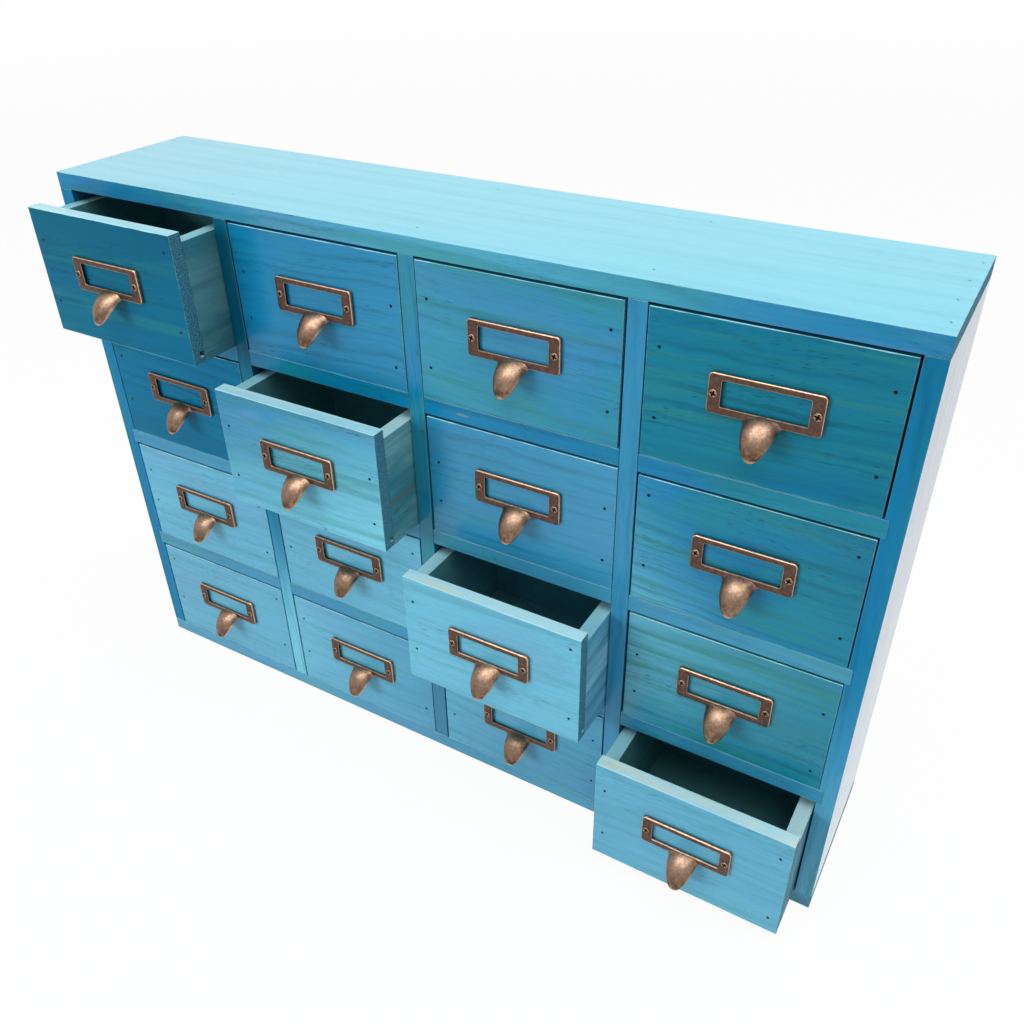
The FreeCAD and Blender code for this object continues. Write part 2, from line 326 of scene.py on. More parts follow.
def stained_wood(name, grain, seed, corners, stain, top, wear, marks=(), tilt=0.0, coated=None,
                 ends_thick=0.0):
    """Blue to teal stain over straight grain, paler on sanded tops and worn edges, which also carry painted
    light from above and a painted highlight, and rough on end grain.

    corners are the board's lowest and highest, where its edges are worn and highlit. stain is how far it
    leans to teal, how thin it is (below zero it is thick), how much thinner towards the right and towards
    the top, and how shiny its lacquer is; the thinness and its slopes are partly real stain and partly
    painted reflection of the lacquer and painted shade. top is how far upper faces turn to which colour,
    and how creamy they are in places; the paler upper faces carry painted light from above. wear is how far
    the edges are rubbed and lit with a painted highlight. marks are those of add_marks. tilt turns the
    grain on the front. coated is how strong the clear coat is, and the axis that the coated faces look
    along.
    ends_thick is how much thicker the stain is at the left and right ends.
    """
    green, wash_and_painted_light, wash_and_painted_light_right, wash_and_painted_light_up, shine = stain
    finish = Finish(name, IOR=1.5, Specular_IOR_Level=shine, Specular_Tint=LACQUER_SHEEN,
                    Coat_Roughness=0.1)
    place = finish.node("TexCoord", {}).outputs["Object"]
    facing = finish.node("TexCoord", {}).outputs["Normal"]
    middle, half = (corners[0] + corners[1]) / 2, (corners[1] - corners[0]) / 2
    from_middle = finish.node("VectorMath", {0: place, 1: middle}, operation="SUBTRACT").outputs[0]
    across = finish.node("VectorMath", {0: from_middle, 1: half}, operation="DIVIDE").outputs[0]
    turn = Vector(GRAIN_TURNS[grain]) + Vector((0, tilt, 0))
    along = finish.stretch(place, (1, 1, 1), turn, (seed * 1.37, seed * 0.61, seed * 0.83))

    clouds = finish.noise(finish.stretch(along, (9, 26, 26)), 3, 0.55, 0.6)
    bands = finish.noise(finish.stretch(along, (5, 120, 120)), 4, 0.6, 0.3)
    streaks = finish.noise(finish.stretch(along, (8, 170, 170), (0, 0, 0), (3.1, 1.7, 2.3)), 3, 0.55, 0.2)
    fibres = finish.noise(finish.stretch(along, (160, 4200, 4200)), 2, 0.5)
    hairs, ticks, bows = grain_lines(finish, along, from_middle, seed, turn)
    right, _, up = finish.axes(across)
    # Thinner stain is paler, partly painted reflection of the lacquer; thicker stain is darker, partly
    # painted shade
    thin = finish.sum("MULTIPLY_ADD", right, wash_and_painted_light_right, finish.sum("MULTIPLY_ADD", up, wash_and_painted_light_up, wash_and_painted_light))
    thin = finish.sum("MULTIPLY_ADD", finish.sum("SUBTRACT", clouds, 0.5), 0.3 * abs(wash_and_painted_light), thin)
    thin = finish.sum("MULTIPLY_ADD", finish.sum("MULTIPLY", right, right), -ends_thick, thin)
    thick = finish.between(thin, 0.0, -1.0)
    thin = finish.between(thin, 0.0, 1.0)
    depth = 1 - 0.4 * wash_and_painted_light

    lean = finish.between(clouds, 0.62 - 0.3 * green, 0.82 - 0.3 * green)
    shade = finish.blend(lean, BLUE_STAIN, TEAL_STAIN)
    shade = finish.blend(finish.between(bands, 0.4, 0.72, 0, 0.3), shade, DEEP_STAIN)
    shade = finish.blend(thick, shade, DEEP_STAIN)
    shade = finish.blend(thin, shade, PALE_WASH_AND_REFLECTION)
    shade = finish.blend(finish.between(streaks, 0.48, 0.66, 0, 0.12 + 0.4 * green), shade, OLIVE_STREAK)
    # Mauve haze where the stain is thin: painted reflection of the lacquer
    shade = finish.blend(finish.between(clouds, 0.46, 0.32, 0, max(0.45 * wash_and_painted_light, 0)), shade, MAUVE_REFLECTION_HAZE)
    shade = finish.blend(finish.sum("MULTIPLY", bows, 0.42 * (1 - 1.3 * wash_and_painted_light)), shade, DEEP_STAIN)
    shade = finish.blend(finish.sum("MULTIPLY", hairs, 0.22 * depth), shade, DEEP_STAIN)
    shade = finish.blend(finish.sum("MULTIPLY", ticks, 0.75 * depth), shade, TICK_STAIN)

    # Paler upper faces: partly sanded, partly painted light and sheen from above
    pale_and_lit_top = finish.between(finish.axes(facing)[2], 0.6, 0.95, 0, top[0])
    streaked = finish.blend(finish.between(bands, 0.42, 0.7, 0, 0.4), top[1], TOP_STREAK)
    streaked = finish.blend(finish.sum("MULTIPLY", hairs, 0.12), streaked, TOP_STREAK)
    cream = finish.blend(finish.between(clouds, 0.6, 0.7, 0, top[2]), streaked, CREAM_WEAR)
    shade = finish.blend(pale_and_lit_top, shade, cream)
    # Worn edges with a painted highlight on the eased arris, strongest along the top
    shade = finish.blend(worn_and_highlit_edges(finish, across, half, along, wear), shade, WORN_EDGE_HIGHLIGHT)
    shade = add_marks(finish, place, shade, marks)
    ends = finish.between(finish.sum("ABSOLUTE", finish.axes(facing)["xyz".index(grain)]), 0.6, 0.9)
    speckle = finish.noise(finish.stretch(place, (1100, 1100, 1100)), 3, 0.7)
    end_stain = finish.blend(finish.between(speckle, 0.4, 0.62), END_DARK, END_PALE)
    shade = finish.blend(finish.sum("MULTIPLY", ends, 0.85), shade, end_stain)
    finish.drive("Base Color", shade)
    gloss = finish.between(bands, 0.3, 0.7, 0.15, 0.21)
    finish.drive("Roughness", finish.sum("MAXIMUM", gloss, finish.sum("MULTIPLY", ends, 0.7)))
    if coated:
        strength, axis = coated
        flat = finish.between(finish.sum("ABSOLUTE", finish.axes(facing)["xyz".index(axis)]), 0.6, 0.9)
        finish.drive("Coat Weight", finish.sum("MULTIPLY", flat, strength))
    relief = finish.sum("MULTIPLY_ADD", ticks, -0.8, finish.sum("MULTIPLY", fibres, 0.35))
    relief = finish.sum("MULTIPLY_ADD", finish.sum("MULTIPLY", ends, speckle), 1.5, relief)
    finish.bump(relief, WOOD_RELIEF)
    return finish.material


def worn_and_highlit_edges(finish, across, half, along, wear):
    """How worn the board is close to its edges, with a painted highlight on the eased arris: most along the
    upper ones, least along upright ones.
    """
    depth = finish.node("VectorMath", {0: across}, operation="ABSOLUTE").outputs[0]
    depth = finish.node("VectorMath", {0: (1, 1, 1), 1: depth}, operation="SUBTRACT").outputs[0]
    depth = finish.node("VectorMath", {0: depth, 1: half}, operation="MULTIPLY").outputs[0]
    x, y, z = finish.axes(depth)
    nearest = finish.sum("MINIMUM", x, finish.sum("MINIMUM", y, z))
    farthest = finish.sum("MAXIMUM", x, finish.sum("MAXIMUM", y, z))
    total = finish.sum("ADD", x, finish.sum("ADD", y, z))
    to_edge = finish.sum("SUBTRACT", finish.sum("SUBTRACT", total, nearest), farthest)
    patches = finish.noise(finish.stretch(along, (60, 220, 220)), 3, 0.6)
    reach = finish.between(patches, 0.35, 0.7, 0.3 * MM, 0.65 * MM)
    share = finish.between(finish.sum("SUBTRACT", 1.0, finish.sum("DIVIDE", to_edge, reach)), 0.0, 0.8)
    level = finish.between(finish.axes(across)[2], -1.0, 1.0, 0.55 * wear, wear)
    upright = finish.sum("LESS_THAN", x, z)
    level = finish.sum("MULTIPLY", level, finish.sum("MULTIPLY_ADD", upright, -0.65, 1.0))
    return finish.sum("MULTIPLY", share, level)


BOX_DARK = colour(70, 144, 156)
BOX_DARK_BLUE = colour(92, 176, 208)
BOX_PALE = colour(118, 182, 186)
BOX_PALE_BLUE = colour(146, 212, 238)
BOX_BAND = colour(48, 108, 126)
BOX_BOW = colour(52, 100, 112)
BOX_HAIR = colour(48, 108, 124)
BOX_TICK = colour(30, 70, 84)
BOX_TOP = colour(140, 198, 208)
BOX_TOP_PALE = colour(178, 218, 222)
INSIDE_STAIN = colour(92, 158, 160)
DIM_PAINTED_SHADE = colour(30, 84, 98)
BOX_WALL = 8.0 * MM
INTO_WALL = 0.5 * MM


def pale_wood(name, grain, seed, corners, blue, dim, marks):
    """The drawers' own boards: thin grey-green stain that shows pale wood, without lacquer.

    corners are the box's lowest and highest. blue is how far its boards are bluer and paler, and dim
    how far they are darkened with painted shade. marks are those of add_marks.
    """
    finish = Finish(name, IOR=1.45, Specular_IOR_Level=0.35, Specular_Tint=LACQUER_SHEEN)
    place = finish.node("TexCoord", {}).outputs["Object"]
    facing = finish.node("TexCoord", {}).outputs["Normal"]
    turn = Vector(GRAIN_TURNS[grain])
    middle, half = (corners[0] + corners[1]) / 2, (corners[1] - corners[0]) / 2
    from_middle = finish.node("VectorMath", {0: place, 1: middle}, operation="SUBTRACT").outputs[0]
    along = finish.stretch(place, (1, 1, 1), turn, (seed * 0.97, seed * 1.21, seed * 0.53))
    clouds = finish.noise(finish.stretch(along, (9, 30, 30)), 3, 0.6, 0.5)
    bands = finish.noise(finish.stretch(along, (8, 150, 150)), 4, 0.6, 0.3)
    hairs, ticks, bows = grain_lines(finish, along, from_middle, seed, turn)
    pale = [a + (b - a) * blue for a, b in zip(BOX_PALE, BOX_PALE_BLUE)]
    dark = [a + (b - a) * blue for a, b in zip(BOX_DARK, BOX_DARK_BLUE)]
    shade = finish.blend(finish.between(clouds, 0.38, 0.62), dark, pale)
    shade = finish.blend(finish.between(bands, 0.45, 0.7, 0, 0.5), shade, BOX_BAND)
    shade = finish.blend(finish.sum("MULTIPLY", bows, 0.18), shade, BOX_BOW)
    shade = finish.blend(finish.sum("MULTIPLY", hairs, 0.25), shade, BOX_HAIR)
    shade = finish.blend(finish.sum("MULTIPLY", ticks, 0.6), shade, BOX_TICK)
    inner = (half.x - BOX_WALL + INTO_WALL, half.y - BOX_WALL + INTO_WALL, 0)
    inward = finish.node("VectorMath", {0: from_middle}, operation="ABSOLUTE").outputs[0]
    inward = finish.node("VectorMath", {0: inner, 1: inward}, operation="SUBTRACT").outputs[0]
    x, y, _ = finish.axes(inward)
    inside = finish.sum("GREATER_THAN", finish.sum("MINIMUM", x, y), 0.0)
    # Painted shade: darkens the box's boards by the dim share
    shade = finish.blend(dim, shade, DIM_PAINTED_SHADE)
    shade = finish.blend(finish.sum("MULTIPLY", inside, 0.8), shade, INSIDE_STAIN)
    shade = add_marks(finish, place, shade, marks)
    # Paler top edges of the box: partly their own colour, partly painted light from above
    pale_and_lit_top = finish.between(finish.axes(facing)[2], 0.6, 0.95, 0, 0.9)
    at_top = finish.sum("GREATER_THAN", finish.axes(place)[2], corners[1].z - 2 * EASING)
    pale_and_lit_top = finish.sum("MULTIPLY", pale_and_lit_top, at_top)
    top = finish.blend(finish.between(clouds, 0.4, 0.62), BOX_TOP, BOX_TOP_PALE)
    finish.drive("Base Color", finish.blend(pale_and_lit_top, shade, top))
    finish.drive("Roughness", finish.between(bands, 0.3, 0.7, 0.4, 0.6))
    finish.bump(finish.sum("MULTIPLY_ADD", ticks, -0.8, hairs), WOOD_RELIEF)
    return finish.material


DARK_COPPER = colour(84, 65, 57)
WARM_COPPER = colour(108, 84, 74)
BRIGHT_COPPER = colour(222, 182, 150)
THUMB_COPPER = colour(106, 78, 58)
PALE_BRASS = colour(160, 134, 114)
AGED_BRASS = colour(72, 48, 32)
# Dark specks in the copper, and the black of the painted shade on the window walls and in the screw slots
SOOT_AND_SHADE = colour(30, 22, 20)
COPPER_RELIEF = 0.02 * MM
TONGUE_TIP = WINDOW_FLOOR - LOWER_BAR - TONGUE_DROP
TARNISH_HEIGHT = 14 * MM
CROWN_FROM = PLATE_THICK - 0.8 * MM
CROWN_FULL = PLATE_THICK + 0.7 * MM
STAINED_BRAD = colour(40, 96, 116)
STAINED_BRAD_PALE = colour(70, 130, 150)
# Front brads: near-black, the painted shade of their nail holes over dark steel
BRAD_HOLE_SHADE = colour(2, 5, 8)
BRAD_HOLE_SHADE_PALE = colour(10, 20, 28)


def cast_copper(name):
    """Antique copper: black painted shade on the window's side walls and in the screw slots, bright on worn
    edges and over the tongue's crown.
    """
    finish = Finish(name, Metallic=1.0)
    place = finish.node("TexCoord", {}).outputs["Object"]
    local = finish.node("Attribute", {}, attribute_name="from_middle").outputs["Vector"]
    wear = finish.node("Attribute", {}, attribute_name="wear").outputs["Fac"]
    painted_shade = finish.node("Attribute", {}, attribute_name="painted_shade").outputs["Fac"]
    thumbed = finish.node("Attribute", {}, attribute_name="thumbed").outputs["Fac"]
    _, y, z = finish.axes(local)
    specks = finish.noise(place, 3, 0.7, scale=1100)
    patches = finish.noise(place, 4, 0.7, scale=420)
    clouds = finish.noise(place, 3, 0.6, scale=260)

    metal = finish.blend(finish.between(patches, 0.35, 0.7), DARK_COPPER, WARM_COPPER)
    mottle = finish.noise(place, 4, 0.7, scale=750)
    thumb = finish.blend(finish.between(mottle, 0.34, 0.66, 0.35, 1.0), THUMB_COPPER, PALE_BRASS)
    thumb = finish.blend(finish.between(specks, 0.42, 0.66, 0, 0.2), thumb, THUMB_COPPER)
    lower = finish.between(z, TONGUE_TIP, TONGUE_TIP + TARNISH_HEIGHT, 0.95, 0.05)
    spread_out = finish.sum("MULTIPLY_ADD", mottle, 0.45, finish.sum("MULTIPLY", clouds, 0.55))
    tarnish = finish.sum("MULTIPLY", finish.between(spread_out, 0.42, 0.55), lower)
    thumb = finish.blend(tarnish, thumb, AGED_BRASS)
    crown = finish.between(finish.sum("MULTIPLY", y, -1), CROWN_FROM, CROWN_FULL)
    crown = finish.sum("MULTIPLY", crown, thumbed)
    metal = finish.blend(crown, metal, thumb)
    worn = finish.sum("MULTIPLY", wear, finish.between(patches, 0.3, 0.6, 0.55, 1.0))
    metal = finish.blend(worn, metal, BRIGHT_COPPER)
    metal = finish.blend(finish.between(specks, 0.64, 0.76, 0, 0.35), metal, SOOT_AND_SHADE)
    # Painted shade: black on the window's side walls and in the screw slots
    metal = finish.blend(painted_shade, metal, SOOT_AND_SHADE)
    finish.drive("Base Color", metal)
    finish.drive("Roughness", finish.between(patches, 0.3, 0.7, 0.42, 0.34))
    finish.bump(finish.sum("MULTIPLY_ADD", specks, 0.5, patches), COPPER_RELIEF)
    return finish.material


def brad_steel(name, dark, pale):
    """Steel dulled by the stain that ran over it; the near-black colours given for the front brads are
    painted shade of their nail holes.
    """
    finish = Finish(name, Metallic=0.2, Specular_IOR_Level=0.2)
    place = finish.node("TexCoord", {}).outputs["Object"]
    grime = finish.noise(place, 2, 0.6, scale=2500)
    finish.drive("Base Color", finish.blend(finish.between(grime, 0.4, 0.7), dark, pale))
    finish.drive("Roughness", finish.between(grime, 0.3, 0.7, 0.45, 0.7))
    return finish.material


# ---------------------------------------------------------------- cast pull

def mark_places(piece):
    """Keeps each point's place from the middle of the frame, for the copper's own pattern."""
    layer = piece.data.attributes.new("from_middle", "FLOAT_VECTOR", "POINT")
    for point, vertex in zip(layer.data, piece.data.vertices):
        point.vector = vertex.co


def mark(piece, name, amount):
    """Keeps how worn, how darkened with painted shade, and how thumbed each point is, from 0 to 1."""
    layer = piece.data.attributes.new(name, "FLOAT", "POINT")
    for point, vertex in zip(layer.data, piece.data.vertices):
        point.value = amount(vertex.co)


def rounded_block(low, high, radius, name, segments=6):
    """A block whose edges along Y are rounded."""
    piece = add_block(low, high, name)
    choose(piece, "edges", lambda a, b: abs(a.y - b.y) > abs(a.x - b.x) + abs(a.z - b.z))
    bpy.ops.mesh.bevel(offset=radius, segments=segments, affect="EDGES")
    close_edit()
    return piece


def frame_casting():
    """The label frame: a plate with a window and a card pocket behind, its front edges softened."""
    half_x, half_z = PLATE_WIDTH / 2, PLATE_HEIGHT / 2
    spare = PLATE_THICK
    plate = rounded_block((-half_x, -PLATE_THICK, -half_z), (half_x, 0, half_z), PLATE_RADIUS, "plate")
    window = rounded_block((-WINDOW_SIDE, -PLATE_THICK - spare, WINDOW_FLOOR),
                           (WINDOW_SIDE, spare, WINDOW_TOP), WINDOW_RADIUS, "window", 4)
    cut_away(plate, window)
    pocket_x = WINDOW_SIDE + CARD_LAP
    pocket = add_block((-pocket_x, -CARD_DEPTH, WINDOW_FLOOR - CARD_LAP),
                       (pocket_x, spare, half_z + spare), "pocket")
    cut_away(plate, pocket)

    def on_front(a, b):
        return max(a.y, b.y) < -PLATE_THICK + 0.01 * MM

    def outside(point):
        return abs(point.x) > WINDOW_SIDE + 1 * MM or abs(point.z) > half_z - 1 * MM

    choose(plate, "edges", lambda a, b: on_front(a, b) and outside(a) and outside(b))
    bpy.ops.mesh.bevel(offset=PLATE_BEVEL, segments=3, affect="EDGES")
    close_edit()
    choose(plate, "edges", lambda a, b: on_front(a, b) and not (outside(a) or outside(b)))
    bpy.ops.mesh.bevel(offset=WINDOW_BEVEL, segments=2, affect="EDGES")
    close_edit()
    return plate


def frame_wear(point):
    """Bright where the frame's front edges turn over, most of all along the top."""
    flat = point.y < -PLATE_THICK + 0.02 * MM
    if flat or point.y > -PLATE_THICK + PLATE_BEVEL + 0.02 * MM:
        return 0.0
    return 1.0 if point.z > 0 else 0.8


def frame_painted_shade(point):
    """Painted shade: black on the window's side walls, behind its eased front edge."""
    walled = abs(abs(point.x) - WINDOW_SIDE) < 0.1 * MM and abs(point.z) < PLATE_HEIGHT / 2 - 1 * MM
    return 0.8 if walled and point.y > -PLATE_THICK + WINDOW_BEVEL - 0.02 * MM else 0.0


def head_wear(point):
    """Brightest where the pan head turns over."""
    radius = Vector((abs(point.x) - PLATE_WIDTH / 2 + SCREW_INSET, point.z)).length
    return 0.45 if radius > SCREW_RADIUS - HEAD_ROUNDING - 0.05 * MM else 0.1


def head_painted_shade(point):
    """Painted shade: black at the bottom of the crossed slots and where the head meets the frame."""
    low = point.y > -PLATE_THICK - 0.1 * MM
    return 1.0 if low else 0.0


# Tongue stations: turn of the crown in degrees, half width and rise in millimetres
TONGUE_STATIONS = [(0, 10.3, 3.2), (3, 9.2, 3.6), (7, 8.3, 4.1), (14, 7.9, 4.6), (24, 7.7, 4.9),
                   (35, 7.5, 4.8), (46, 7.2, 4.6), (56, 6.7, 4.3), (64, 6.1, 3.8), (71, 5.4, 3.2),
                   (77, 4.6, 2.5), (82, 3.7, 1.8), (86, 2.5, 0.9)]
ARCH_POINTS = 28


def mark_rim(tongue):
    """Bright along the open edge of the tongue's lower half."""
    faces = [tuple(face.vertices) for face in tongue.data.polygons]
    shared = Counter(key for face in tongue.data.polygons for key in face.edge_keys)
    rim = {point for key, count in shared.items() if count == 1 for point in key}
    beside = {point for face in faces if rim.intersection(face) for point in face}
    layer = tongue.data.attributes.new("wear", "FLOAT", "POINT")
    for number, vertex in enumerate(tongue.data.vertices):
        if vertex.co.z < WINDOW_FLOOR - TONGUE_DROP / 2:
            layer.data[number].value = 1.0 if number in rim else 0.8 if number in beside else 0.0


def tongue_casting():
    """The hooked tongue: an arch drawn out of the frame's lower bar, turned down and closed at its tip."""
    root_y = -CARD_DEPTH - 0.3 * MM
    reach = TONGUE_OUT + root_y
    fall = LOWER_BAR + TONGUE_DROP

    def crown(turn):
        return Vector((0, root_y - reach * sin(turn), WINDOW_FLOOR - fall * (1 - cos(turn))))

    def slope(turn):
        return atan2(fall * sin(turn), reach * cos(turn))

    deselect_all()
    bpy.ops.mesh.primitive_circle_add(vertices=ARCH_POINTS, radius=1, fill_type="NOTHING",
                                      rotation=(pi / 2, 0, 0))
    tongue = settle(bpy.context.object, "tongue")
    choose(tongue, "vertices", lambda point: point.z < -0.01)
    bpy.ops.mesh.delete(type="VERT")
    close_edit()
    turn, half, rise = [value * unit for value, unit in zip(TONGUE_STATIONS[0], (radians(1), MM, MM))]
    choose(tongue, "vertices", lambda point: True)
    bpy.ops.transform.resize(value=(half, 1, rise), center_override=(0, 0, 0))
    bpy.ops.transform.translate(value=crown(turn) - Vector((0, 0, rise)))
    for station in TONGUE_STATIONS[1:]:
        next_turn, next_half, next_rise = [v * u for v, u in zip(station, (radians(1), MM, MM))]
        step = crown(next_turn) - crown(turn)
        bpy.ops.mesh.extrude_edges_move(TRANSFORM_OT_translate={"value": step})
        bpy.ops.transform.rotate(value=slope(turn) - slope(next_turn), orient_axis="X",
                                 center_override=crown(next_turn))
        scale = (next_half / half, next_rise / rise, next_rise / rise)
        bpy.ops.transform.resize(value=scale, center_override=crown(next_turn))
        turn, half, rise = next_turn, next_half, next_rise
    bpy.ops.mesh.extrude_edges_move(TRANSFORM_OT_translate={"value": crown(pi / 2) - crown(turn)})
    bpy.ops.mesh.merge(type="CENTER")
    bpy.ops.mesh.select_all(action="SELECT")
    bpy.ops.mesh.normals_make_consistent(inside=False)
    close_edit()
    mark_rim(tongue)
    finish_with(tongue, "SUBSURF", levels=1, render_levels=1)
    finish_with(tongue, "SOLIDIFY", thickness=TONGUE_WALL, offset=-1, use_even_offset=True)
    return tongue


def screws():
    """Two pan heads with crossed slots."""
    heads = []
    for way in (-1, 1):
        x = way * (PLATE_WIDTH / 2 - SCREW_INSET)
        deselect_all()
        bpy.ops.mesh.primitive_cylinder_add(vertices=28, radius=SCREW_RADIUS, depth=SCREW_THICK,
                                            location=(x, -PLATE_THICK - SCREW_THICK / 2, 0),
                                            rotation=(pi / 2, 0, 0))
        head = settle(bpy.context.object, "screw")
        choose(head, "edges", lambda a, b: max(a.y, b.y) < -PLATE_THICK - SCREW_THICK + 0.01 * MM)
        bpy.ops.mesh.bevel(offset=HEAD_ROUNDING, segments=3, affect="EDGES")
        close_edit()
        for long_x, long_z in ((SLOT_LENGTH / 2, SLOT_WIDTH / 2), (SLOT_WIDTH / 2, SLOT_LENGTH / 2)):
            slot = add_block((-long_x, -SCREW_THICK, -long_z), (long_x, SLOT_DEPTH, long_z), "slot")
            slot.rotation_euler = (0, radians(SLOT_TURN), 0)
            slot.location = (x, -PLATE_THICK - SCREW_THICK, 0)
            settle(slot)
            cut_away(head, slot)
        heads.append(head)
    return join(heads, "screw_heads")


def make_pulls(copper):
    """One frame, tongue and pair of screws, copied to every drawer."""
    plate, tongue, heads = frame_casting(), tongue_casting(), screws()
    mark(plate, "wear", frame_wear)
    mark(heads, "wear", head_wear)
    # Painted shade on the window's side walls and in the screw slots
    mark(plate, "painted_shade", frame_painted_shade)
    mark(tongue, "thumbed", lambda point: 1.0)
    mark(heads, "painted_shade", head_painted_shade)
    casting = join([plate, tongue], "casting")
    for pattern in (casting, heads):
        mark_places(pattern)
        pattern.data.materials.clear()
        pattern.data.materials.append(copper)
        pick(pattern)
        bpy.ops.object.shade_smooth_by_angle(angle=radians(40))
    for row in ROWS:
        for column in COLUMNS:
            drawer = f"drawer_{row}{column}"
            low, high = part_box(drawer + "_front")
            middle = Vector(((low.x + high.x) / 2, low.y, (low.z + high.z) / 2 + PULL_ABOVE_MID))
            for pattern, part in ((casting, "_casting"), (heads, "_screws")):
                piece = copy_to(pattern, drawer + part, middle)
                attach(piece, drawer)
                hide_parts(drawer + "_pull")
    for pattern in (casting, heads):
        bpy.data.objects.remove(pattern)


# ---------------------------------------------------------------- brads

def brad_pattern(radius):
    """A small dished head, facing +Z."""
    deselect_all()
    bpy.ops.mesh.primitive_cylinder_add(vertices=16, radius=radius, depth=4 * BRAD_PROUD,
                                        location=(0, 0, -BRAD_PROUD))
    head = settle(bpy.context.object, "brad")
    choose(head, "faces", lambda face: face.normal.z > 0.9)
    bpy.ops.mesh.inset(thickness=radius / 4, depth=0)
    bpy.ops.mesh.inset(thickness=radius / 4, depth=-BRAD_PROUD / 2)
    close_edit()
    return head


def brad_group(name, body, node, spots, radius, steel):
    """Brad heads at each spot, a place and the way it faces, as one piece."""
    pattern = brad_pattern(radius)
    heads = []
    for place, facing in spots:
        head = copy_to(pattern, "brad_head", Vector((0, 0, 0)))
        turn = Vector((0, 0, 1)).rotation_difference(Vector(facing))
        head.data.transform(Matrix.Translation(place) @ turn.to_matrix().to_4x4())
        heads.append(head)
    bpy.data.objects.remove(pattern)
    group = join(heads, name)
    group.data.materials.clear()
    group.data.materials.append(steel)
    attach(group, body)
    if node:
        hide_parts(node)


def spread(first, last, count):
    return [first + (last - first) * i / (count - 1) for i in range(count)]


def by_hand(number):
    """How far a hand-driven brad strays from its line."""
    return HAND_WANDER * sin(number * 2.4)


def make_case_brads(steel):
    low, high = CAD_BOX[0].copy(), CAD_BOX[1]
    low.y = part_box("top_panel")[0].y
    first, last = low.y + CASE_BRAD_EDGE, high.y - CASE_BRAD_EDGE
    spots = []
    uprights = [("left_side", 4), ("right_side", 4)] + [(f"divider_{n}", 2) for n in (1, 2, 3)]
    for node, count in uprights:
        a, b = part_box(node)
        for y in spread(first, last, count):
            x = (a.x + b.x) / 2 + by_hand(len(spots))
            spots += [(Vector((x, y, high.z)), (0, 0, 1)), (Vector((x, y, low.z)), (0, 0, -1))]
    for node in ("shelf_1", "shelf_2", "shelf_3"):
        a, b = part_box(node)
        for y in spread(first, last, 2):
            z = (a.z + b.z) / 2 + by_hand(len(spots))
            spots += [(Vector((low.x, y, z)), (-1, 0, 0)), (Vector((high.x, y, z)), (1, 0, 0))]
    brad_group("case_brads", "cabinet", "carcass_brads", spots, CASE_BRAD_RADIUS, steel)


def make_front_brads(steel):
    for row in ROWS:
        for column in COLUMNS:
            drawer = f"drawer_{row}{column}"
            a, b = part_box(drawer + "_front")
            left, right = a.x + FRONT_BRAD_IN, b.x - FRONT_BRAD_IN
            heights = FRONT_BRADS[10 * row + column]
            spots = [(Vector((x, a.y, a.z + up * MM)), (0, -1, 0))
                     for x, up in zip((left, left, right, right), heights)]
            brad_group(drawer + "_brads", drawer, None, spots, BRAD_RADIUS, steel)


# ---------------------------------------------------------------- boards

# For each drawer front, then for each board of the case: how far the stain leans to teal, how thin it is
# (below zero it is thick), how much thinner towards the right and towards the top, and how shiny it is;
# the thinness and its slopes are partly real stain and partly painted reflection of the lacquer and painted
# shade
FRONT_STAIN_AND_LIGHT = {11: (0.5, -0.66, 0.0, -0.12, 0.05), 12: (0.15, 0.11, 0.06, 0.0, 0.3),
               13: (0.9, 0.2, -0.04, 0.0, 0.35), 14: (1.2, -0.36, -0.06, 0.0, 0.15),
               21: (0.25, -0.42, 0.0, 0.12, 0.06), 22: (0.6, 0.42, 0.12, -0.2, 0.38),
               23: (0.15, 0.22, 0.04, 0.0, 0.5), 24: (0.8, 0.02, -0.3, -0.16, 0.28),
               31: (0.2, 0.48, 0.0, 0.0, 0.4), 32: (0.25, 0.5, 0.04, 0.0, 0.5),
               33: (0.4, 0.58, 0.0, 0.0, 0.4), 34: (1.5, 0.22, -0.18, 0.07, 0.36),
               41: (0.25, 0.48, 0.0, 0.0, 0.4), 42: (0.05, 0.46, -0.1, 0.0, 0.4),
               43: (0.2, 0.42, -0.08, 0.03, 0.35), 44: (0.2, 0.48, 0.0, 0.0, 0.4)}
CASE_STAIN_AND_LIGHT = {"top_panel": (0.7, 0.38, 0.03, 0.0, 0.2), "bottom_panel": (0.3, 0.38, 0.0, 0.0, 0.3),
              "left_side": (0.3, -0.1, 0.0, 0.0, 0.08), "right_side": (0.1, 0.1, 0.0, -0.55, 0.12),
              "back_panel": (0.4, 0.15, 0.0, 0.0, 0.2),
              "divider_1": (0.4, -0.1, 0.0, -1.2, 0.1), "divider_2": (0.6, 0.1, 0.0, 0.0, 0.4),
              "divider_3": (0.15, 0.24, 0.0, -0.05, 0.3), "shelf_1": (0.6, 0.03, 0.04, 0.0, 0.25),
              "shelf_2": (0.5, 0.28, 0.04, 0.0, 0.3), "shelf_3": (0.35, 0.25, 0.0, 0.0, 0.3)}
CASE_COAT = {"top_panel": (0.3, "z"), "left_side": (0.5, "x"), "right_side": (0.5, "x")}
# How far the edges are worn and carry a painted highlight
CASE_EDGE_WEAR_AND_HIGHLIGHT = 0.3
FRONT_EDGE_WEAR_AND_HIGHLIGHT = 0.85
# How much thicker the stain is at a board's ends
THICK_ENDS = {"top_panel": 0.4}
# How far upper faces turn to which colour, and how creamy they are in places; the paler colour is partly
# sanding and partly painted light from above
SANDED_AND_LIT_CASE_TOP = (0.92, CASE_TOP, 0.0)
SANDED_AND_LIT_FRONT_TOP = (0.92, FRONT_TOP, 0.7)
STAINED_TOP = (0.0, FRONT_TOP, 0.0)
